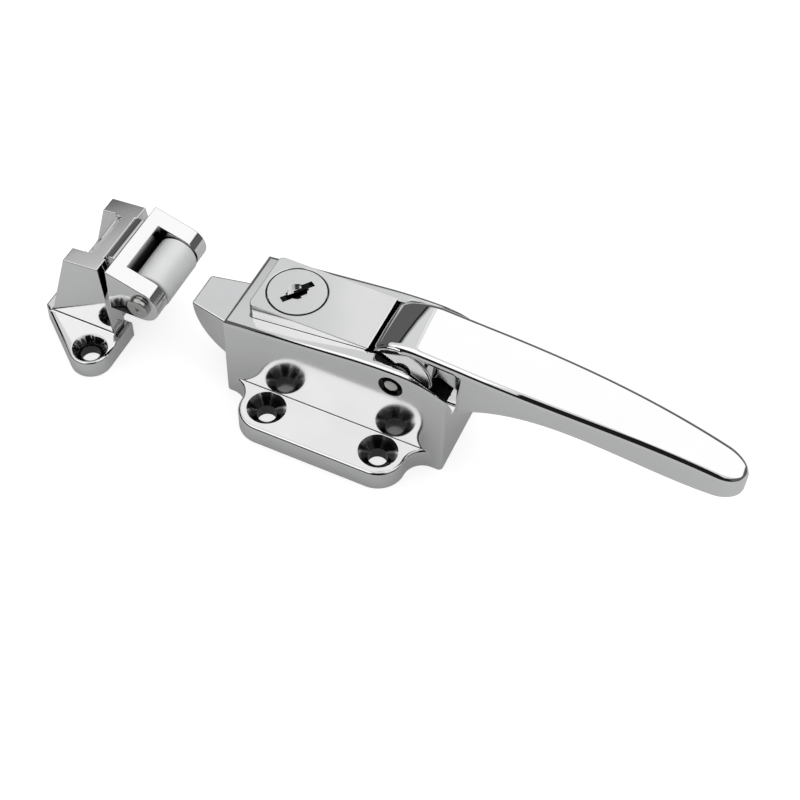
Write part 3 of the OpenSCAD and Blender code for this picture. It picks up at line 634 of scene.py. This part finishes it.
SOFT_EDGES = {
    "latch_housing": dict(radius=0.0, places=[PAD_RIM, FLANGE_ROOT]),
    "bolt": dict(radius=0.9, corner=30.0),
    "strike_base": dict(radius=0.4, places=[FLANGE_RIM]),
    "roller_fork": dict(radius=0.4),
    "key_plug": dict(radius=0.1),
    "roller_axle": dict(radius=0.5),
    "roller": dict(radius=0.4),
    "handle_pin": dict(radius=0.65),
    "clamp_screw": dict(radius=0.25),
    "clamp_washer": dict(radius=0.15),
    "back_plate": dict(radius=0.2),
}
for node_name, softness in SOFT_EDGES.items():
    made = rounded(node_name, **softness)
    print("softened", node_name, len(made.data.polygons), "faces")

# %% [markdown]
# ## The bolt's spring
# The spring is wound wire that throws the bolt, and when the lever draws the bolt back, it is pressed
# shorter. Here it stays one rigid piece, a copy of the solid on its body with a mesh of its own, so when
# the bolt is drawn back it stands right through the bolt.

# %% The spring, one rigid piece
spring = dressed(merged("bolt_spring", "bolt_spring_form"), "bolt_spring")
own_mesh(spring)

# %% [markdown]
# ## The lever
# The lever is one smooth casting from the nose to the tip: its top runs in one line, and a mirror shows any
# kink in it. A copy of the solid or a subdivided cage would show its flats there. So it is a loft of its
# own: rows along X, each a rounded rectangle across Y. Its height and width along X are formulas, and whole
# rows are worked out at once as arrays.

# %% Sizes and outlines of the lever, in millimetres
PIVOT_X, _, PIVOT_Z = PIVOT / MM
NOSE_R = 12.8
LEVER_HALF = 11.7
CLIMB = math.radians(18.0)
CREST_X = PIVOT_X + 2.5
CREST_SOFT = 1.6
HEEL_X = 43.3
HEEL_TOP = PIVOT_Z + 13.0
HEEL_LOW = 26.7
HEEL_SWELL = 0.6
GRIP_DROP = 2.9
GRIP_TAPER = 2.1
FINGER_LIFT = 21.3
FINGER_DROP = 0.1
TIP_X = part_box("handle")[1][0] / MM
TIP_HALF = 6.5
TIP_T = 9.7
TIP_Z = PIVOT_Z - 3.7
TIP_TOP = TIP_Z + TIP_T / 2.0 - 0.9
TIP_LOW = TIP_Z - TIP_T / 2.0
nose_x = PIVOT_X - NOSE_R * math.sin(CLIMB)
nose_z = PIVOT_Z + NOSE_R * math.cos(CLIMB)
crest_z = nose_z + (CREST_X - nose_x) * math.tan(CLIMB)
run_slope = (crest_z - HEEL_TOP) / (HEEL_X - CREST_X)
span = TIP_X - HEEL_X


def bezier(t, a, b, c, d):
    """Cubic curve: a and d are its ends, b and c pull it between them."""
    s = 1.0 - t
    return s**3 * a + 3.0 * s**2 * t * b + 3.0 * s * t**2 * c + t**3 * d


def smooth_least(a, b, soft):
    """The lesser of two curves, with a parabola over the corner where they differ by less than soft."""
    return np.minimum(a, b) - np.clip(soft - np.abs(a - b), 0.0, None) ** 2 / (4.0 * soft)


def along_grip(x):
    """Share of the way from the heel to the tip, between 0 and 1."""
    return np.clip((x - HEEL_X) / span, 0.0, 1.0)


def lever_top(x):
    """Top line: the nose arc about the pivot, a tangent climb, a soft crest, then one curve to the tip."""
    arc = PIVOT_Z + np.sqrt(np.clip(NOSE_R**2 - (x - PIVOT_X) ** 2, 0.0, None))
    climb = nose_z + (x - nose_x) * math.tan(CLIMB)
    pull = HEEL_TOP - run_slope * span / 3.0
    curve = bezier(along_grip(x), HEEL_TOP, pull, HEEL_TOP - GRIP_DROP, TIP_TOP)
    run = np.where(x < HEEL_X, HEEL_TOP + run_slope * (HEEL_X - x), curve)
    return np.where(x < nose_x, arc, smooth_least(climb, run, CREST_SOFT))


def grip_low(x):
    """Underside of the grip: lifted behind the heel for the fingers, then down to the tip."""
    return bezier(along_grip(x), HEEL_LOW, HEEL_LOW + FINGER_LIFT, HEEL_LOW - FINGER_DROP, TIP_LOW)


def grip_half(x):
    """Half the width: full at the heel, narrowing to the tip."""
    return bezier(along_grip(x), LEVER_HALF, LEVER_HALF + HEEL_SWELL, LEVER_HALF - GRIP_TAPER, TIP_HALF)


def quarter(distance, radius):
    """Drop of a round corner of this radius, at a distance from its end."""
    inside = np.clip(radius - distance, 0.0, radius)
    return radius - np.sqrt(radius**2 - inside**2)


print("lever ends at x", round(TIP_X, 1), "mm, and its crest is at z", round(crest_z, 1), "mm")

# %% [markdown]
# A ring is a rounded rectangle in Y and Z. Its top is a little crowned, which bends the reflections on the
# nose, and the crown carries on over the round edges so that no crease shows. Corners get eight steps each,
# and the flats get a point close to each end, so that the corners don't tilt the normals of the flats.

# %% Rings of the lever
CORNER_STEPS = 9
FLAT_POINTS = np.array([-0.98, -0.8, -0.5, -0.2, 0.2, 0.5, 0.8, 0.98])
SIDE_POINTS = np.array([0.03, 0.35, 0.65, 0.97])
NOSE_ROWS = 28
COVER_ROWS = 44
GRIP_ROWS = 90
TIP_ROWS = 24
NOSE_START = math.radians(72.0)
HEEL_FILLET = 2.0
COVER_T = 3.5
SEAM = 0.02
TIP_CORNER = 6.2
TIP_ROUND = 9.0
TIP_CLOSE = 0.99
TOP_END_R = 1.9
LOW_END_R = 1.2
LEAST_FLAT = 0.2
LEAST_SIDE = 0.1
# Stops along X in mm: the radius of the top and of the low edges, and the rise of the crown
TOP_EDGE = {PIVOT_X - NOSE_R: 3.2, nose_x: 2.6, CREST_X + 4.0: 2.2}
LOW_EDGE = {HEEL_X: 0.5, HEEL_X + 10.0: 0.7, TIP_X: 1.2}
CROWN = {PIVOT_X - NOSE_R: 0.5, CREST_X: 0.35, HEEL_X: 0.2, TIP_X: 0.1}


def between(x, stops):
    """A size that changes evenly along X between stops, and is constant past the last one."""
    return np.interp(x, list(stops), list(stops.values()))


def ring_rows(x, half, low, top, r_top, r_low, crown):
    """Rings for arrays of x: corner arcs of r_top and r_low, and a top lowered by crown * (y / half)^2."""
    sizes = np.broadcast_arrays(x, half, low, top, r_top, r_low, crown)[1:]
    half, low, top, r_top, r_low, crown = (np.array(size, float)[:, None] for size in sizes)
    bend = np.linspace(0.0, math.pi / 2.0, CORNER_STEPS)[None, :]
    rise = np.sin(bend)
    fall = np.cos(bend)
    flat = FLAT_POINTS[None, :]
    side = SIDE_POINTS[None, :]
    inner = half - r_top
    top_y = np.hstack([-inner - r_top * fall, flat * inner, inner + r_top * rise])
    top_z = np.hstack([top - r_top + r_top * rise, top + 0.0 * flat, top - r_top + r_top * fall])
    top_z = top_z - crown * (top_y / half) ** 2
    inner = half - r_low
    low_y = np.hstack([inner + r_low * fall, -flat * inner, -inner - r_low * rise])
    low_z = np.hstack([low + r_low - r_low * rise, low + 0.0 * flat, low + r_low - r_low * fall])
    upper = top - r_top - crown
    lower = low + r_low
    down_z = upper + (lower - upper) * side
    y = np.hstack([top_y, half + 0.0 * side, low_y, -half + 0.0 * side])
    z = np.hstack([top_z, down_z, low_z, down_z[:, ::-1]])
    return np.stack([np.broadcast_to(x[:, None], y.shape), y, z], -1)


def lever_skin():
    """The nose, cover and grip: rows follow the nose and the tip by angle, and the heel by its fillet."""
    nose = PIVOT_X - NOSE_R * np.sin(np.linspace(NOSE_START, CLIMB, NOSE_ROWS))
    cover = np.linspace(nose_x, HEEL_X - HEEL_FILLET, COVER_ROWS)[1:-1]
    bend = np.linspace(0.0, math.pi / 2.0, CORNER_STEPS)
    fillet = HEEL_X - HEEL_FILLET + HEEL_FILLET * np.sin(bend)
    grip = HEEL_X + SEAM + (span - TIP_ROUND - SEAM) * np.linspace(0.0, 1.0, GRIP_ROWS)
    sweep = np.linspace(0.0, math.pi / 2.0, TIP_ROWS)[1:] * TIP_CLOSE
    around = TIP_X - TIP_ROUND * (1.0 - np.sin(sweep))
    x = np.concatenate([nose, cover, fillet, grip, around])
    top = lever_top(x)
    under = np.where(x < PIVOT_X, PIVOT_Z, top - COVER_T)
    heel_row = nose.size + cover.size
    under[heel_row : heel_row + fillet.size] -= HEEL_FILLET * (1.0 - np.cos(bend))
    low = np.where(x > HEEL_X + SEAM / 2.0, grip_low(x), under)
    to_end = TIP_X - x
    half = np.where(x > HEEL_X, grip_half(x), LEVER_HALF)
    half = half - TIP_CORNER / TIP_ROUND * quarter(to_end, TIP_ROUND)
    top = top - quarter(to_end, TOP_END_R)
    low = low + quarter(to_end, LOW_END_R)
    crown = between(x, CROWN)
    low_edge = np.minimum(between(x, LOW_EDGE), half - LEAST_FLAT)
    room = np.minimum(half - LEAST_FLAT, top - low - low_edge - crown - LEAST_SIDE)
    return ring_rows(x, half, low, top, np.minimum(between(x, TOP_EDGE), room), low_edge, crown)


skin_rings = lever_skin()
print("lever has", skin_rings.shape[0], "rings of", skin_rings.shape[1], "points")

# %% [markdown]
# Under the skin the lever has its hub round the pin, a neck to the heel, and the arm that draws the bolt.
# They could be loose pieces that pass through the skin, but then faces would hide inside the metal. So they
# are made the same way and joined to the skin, because the lever is one casting.

# %% Build the lever
HUB_R = NOSE_R - 0.7
HUB_HALF = LEVER_HALF - 0.04
HUB_EDGE = 0.8
NECK_HALF = 8.5
NECK_EDGE = 0.4
NECK_LOW = HEEL_LOW + 0.1
NECK_END = HEEL_X + 1.0
ARM_TILT = math.radians(12.5)
ARM_R = 22.03
ARM_ROOT = 3.25
ARM_END = 1.9
ARM_HALF = 4.0
FOOT_R = 2.8
FOOT_EDGE = 0.3
BORE_R = 4.06
BORE_PAST = 2.0
BORE_EDGE = 0.1
arm_foot = np.array([PIVOT_X - ARM_R * math.sin(ARM_TILT), PIVOT_Z - ARM_R * math.cos(ARM_TILT)])


def neck_rings():
    """The neck: a box along X with softened edges, from the pivot into the heel."""
    ends = np.array([PIVOT_X, NECK_END])
    return ring_rows(ends, NECK_HALF, NECK_LOW, crest_z - COVER_T, NECK_EDGE, NECK_EDGE, 0.0)


def arm_rings():
    """The arm: rings down its length, each a rectangle that narrows from the hub to the foot."""
    along = np.array([0.0, 1.0])[:, None]
    thick = ARM_ROOT + (ARM_END - ARM_ROOT) * along
    corner = np.array([[-1.0, -1.0], [1.0, -1.0], [1.0, 1.0], [-1.0, 1.0]])
    x = PIVOT_X + (arm_foot[0] - PIVOT_X) * along + thick * corner[None, :, 0] * math.cos(ARM_TILT)
    z = PIVOT_Z + (arm_foot[1] - PIVOT_Z) * along - thick * corner[None, :, 0] * math.sin(ARM_TILT)
    y = np.broadcast_to(ARM_HALF * corner[None, :, 1], x.shape)
    return np.stack([x, y, z], -1)


skin = loft_mesh("lever_skin", skin_rings)
hub = loft_mesh("lever_hub", disc_rings(PIVOT_X, PIVOT_Z, HUB_R, HUB_HALF, HUB_EDGE))
neck = loft_mesh("lever_neck", neck_rings())
arm = loft_mesh("lever_arm", arm_rings())
foot = loft_mesh("lever_foot", disc_rings(*arm_foot, FOOT_R, ARM_HALF, FOOT_EDGE))
bore = loft_mesh("lever_bore", disc_rings(PIVOT_X, PIVOT_Z, BORE_R, LEVER_HALF + BORE_PAST, BORE_EDGE))
steps = [(mesh, "UNION") for mesh in (hub, neck, arm, foot)] + [(bore, "DIFFERENCE")]
lever_mesh = joined("lever_form", skin, steps)
dressed(lever_mesh, "handle")
print("lever has", len(lever_mesh.polygons), "faces")

# %% [markdown]
# ## Camera
# The camera stands in front and to the right of the lock and looks well down on it, a little rolled. It
# could be aimed at a target object, but a place, a direction, a roll and a lens are easier to read.

# %% Camera, by the direction it looks from
CAMERA_AT = Vector((0.1448, -0.3131, 0.4429))
AZIMUTH = math.radians(21.96)
ELEVATION = math.radians(52.30)
ROLL = math.radians(3.06)
LENS = 70.11


def direction(azimuth, elevation):
    """Unit vectors away from the object, from angles in radians: azimuth 0 is the front, elevation is up."""
    flat = np.cos(elevation)
    rise = np.sin(elevation) + 0.0 * azimuth
    return np.stack([np.sin(azimuth) * flat, -np.cos(azimuth) * flat, rise], -1)


back = Vector(direction(AZIMUTH, ELEVATION))
level = Vector((math.cos(AZIMUTH), math.sin(AZIMUTH), 0.0))
upright = back.cross(level)
right = level * math.cos(ROLL) + upright * math.sin(ROLL)
turn = Matrix((right, back.cross(right), back)).transposed()
camera = placed("camera", bpy.data.cameras.new("camera"))
camera.data.lens = LENS
camera.matrix_world = Matrix.Translation(CAMERA_AT) @ turn.to_4x4()
scene.camera = camera
print("camera looks down", round(math.degrees(ELEVATION)), "degrees")

# %% [markdown]
# ## Floor and air
# Chrome has no look of its own: it shows the room. The floor is white paper. More lamps would take it to
# white, but they would wash out the metal too, so the paper glows a little for the camera instead, and less
# for what mirrors it. The air is even grey for the metal and white for the camera.

# %% White paper and even air
FLOOR_HALF = 6.0
PAPER = grey(0.5)
SEEN_GLOW = 0.72
MIRRORED_GLOW = 0.08
AIR_GREY = grey(0.74, -0.006)
WHITE = grey(1.0)
scene.view_settings.view_transform = "Standard"


def stage_card(name, points, faces, material):
    """A mesh of points and faces that belongs to the stage."""
    mesh = bpy.data.meshes.new(name)
    mesh.from_pydata(points, [], faces)
    mesh.materials.append(material)
    card = placed(name, mesh)
    return card


def light_path(start, *rays):
    """The sum of some of the light path's ray tests, each 0 or 1."""
    return sum(start.node("ShaderNodeLightPath", out=ray) for ray in rays)


def floor_paper():
    """White paper: diffuse, plus a glow that takes it to white for the camera but not for the metal."""
    material, start = new_finish("floor_paper")
    seen = light_path(start, "Is Camera Ray")
    mirrored = light_path(start, "Is Glossy Ray", "Is Transmission Ray")
    strength = seen * SEEN_GLOW + mirrored * MIRRORED_GLOW
    glow = start.node("ShaderNodeEmission", values={"Strength": strength})
    paper = start.node("ShaderNodeBsdfDiffuse", values={"Color": (*PAPER, 1.0)})
    close_finish(start, start.node("ShaderNodeAddShader", values={0: glow, 1: paper}))
    return material


floor_corners = [(x * FLOOR_HALF, y * FLOOR_HALF, 0.0) for x, y in ((-1, -1), (1, -1), (1, 1), (-1, 1))]
stage_card("floor", floor_corners, [(0, 1, 2, 3)], floor_paper())
world = bpy.data.worlds.new("studio_air")
world.use_nodes = True
world.node_tree.nodes.clear()
air = Wire(world.node_tree)
sky = blend(air, light_path(air, "Is Camera Ray"), AIR_GREY, WHITE)
background = air.node("ShaderNodeBackground", values={"Color": sky})
air.node("ShaderNodeOutputWorld", values={"Surface": background})
scene.world = world
print("floor is", 2.0 * FLOOR_HALF, "m wide")

# %% [markdown]
# ## Cards for the chrome to mirror
# A white softbox over the back makes the tops white, the pale floor makes the walls grey, a dark room
# behind the camera draws the black line along each near edge, and a low dark wall behind makes the far
# edges dark. A picture of a studio could stand for all this, but with a few even cards it is plain which
# card makes which line. They stand far off, so that the strike and the latch mirror the same room, and they
# are out of the camera's shot.

# %% Room cards
ROOM_R = 3.0
ROOM_MIDDLE = np.array([(CAD_LOW[0] + CAD_HIGH[0]) / 2.0, 0.0, 0.03])
CARD_ROWS = 9
CARD_COLUMNS = 25
# Each card: left and right azimuth and low and high elevation in degrees, then its brightness
CARDS = {
    "front_wall": (-90.0, 60.0, -3.0, 36.0, 0.012),
    "back_wall": (60.0, 270.0, -3.0, 32.5, 0.11),
    "back_wall_top": (60.0, 270.0, 32.5, 34.8, 0.012),
    "back_wall_fade": (60.0, 270.0, 34.8, 35.7, 0.14),
    "back_wall_haze": (60.0, 270.0, 35.7, 36.8, 0.32),
    "back_wall_edge": (60.0, 270.0, 36.8, 38.2, 0.55),
    "camera_side": (-2.0, 55.0, 36.0, 72.0, 0.012),
    "ceiling_softbox": (95.0, 201.6, 39.0, 78.0, 1.12),
    "softbox_rod": (201.6, 202.1, 39.0, 78.0, 0.25),
    "softbox_edge": (202.1, 206.0, 39.0, 78.0, 0.9),
    "front_softbox": (-85.0, -6.0, 36.0, 78.0, 1.2),
}


def plain_card(name, brightness):
    """A finish of one even tone, as lit."""
    material, start = new_finish(name)
    close_finish(start, start.node("ShaderNodeEmission", values={"Color": (*grey(brightness), 1.0)}))
    return material


def room_card(name, left, right, low, high, brightness):
    """A patch of a sphere about the object, between two azimuths and two elevations. Only mirrors see it."""
    azimuth = np.radians(np.linspace(left, right, CARD_COLUMNS))[None, :]
    elevation = np.radians(np.linspace(low, high, CARD_ROWS))[:, None]
    points = (ROOM_R * direction(azimuth, elevation) + ROOM_MIDDLE).reshape(-1, 3)
    first = np.arange(CARD_ROWS - 1)[:, None] * CARD_COLUMNS + np.arange(CARD_COLUMNS - 1)[None, :]
    above = first + CARD_COLUMNS
    quads = np.stack([first, first + 1, above + 1, above], -1).reshape(-1, 4)
    card = stage_card(name, points.tolist(), quads.tolist(), plain_card(name, brightness))
    card.visible_camera = False
    card.visible_diffuse = False
    card.visible_shadow = False


for card_name, card_sizes in CARDS.items():
    room_card(card_name, *card_sizes)
print("room has", len(CARDS), "cards")

# %% [markdown]
# ## Key lamp
# The cards light no dull surface and cast no shadow. One wide lamp, high behind the lock, does both softly.
# A small hard lamp would draw a sharp shadow that a studio's soft light doesn't give. Mirrors don't see the
# lamp, because the ceiling's card is already there.

# %% One soft lamp
KEY_FROM = Vector(direction(math.radians(170.0), math.radians(60.0)))
KEY_DISTANCE = 1.6
KEY_POWER = 6.0
lamp = bpy.data.lights.new("key_softbox", "AREA")
lamp.shape = "RECTANGLE"
lamp.size = 1.6
lamp.size_y = 1.4
lamp.energy = KEY_POWER
key = placed("key_softbox", lamp)
key.location = KEY_FROM * KEY_DISTANCE
key.rotation_euler = KEY_FROM.to_track_quat("Z", "Y").to_euler()
key.visible_glossy = False
print("key lamp of", KEY_POWER, "W at", KEY_DISTANCE, "m")
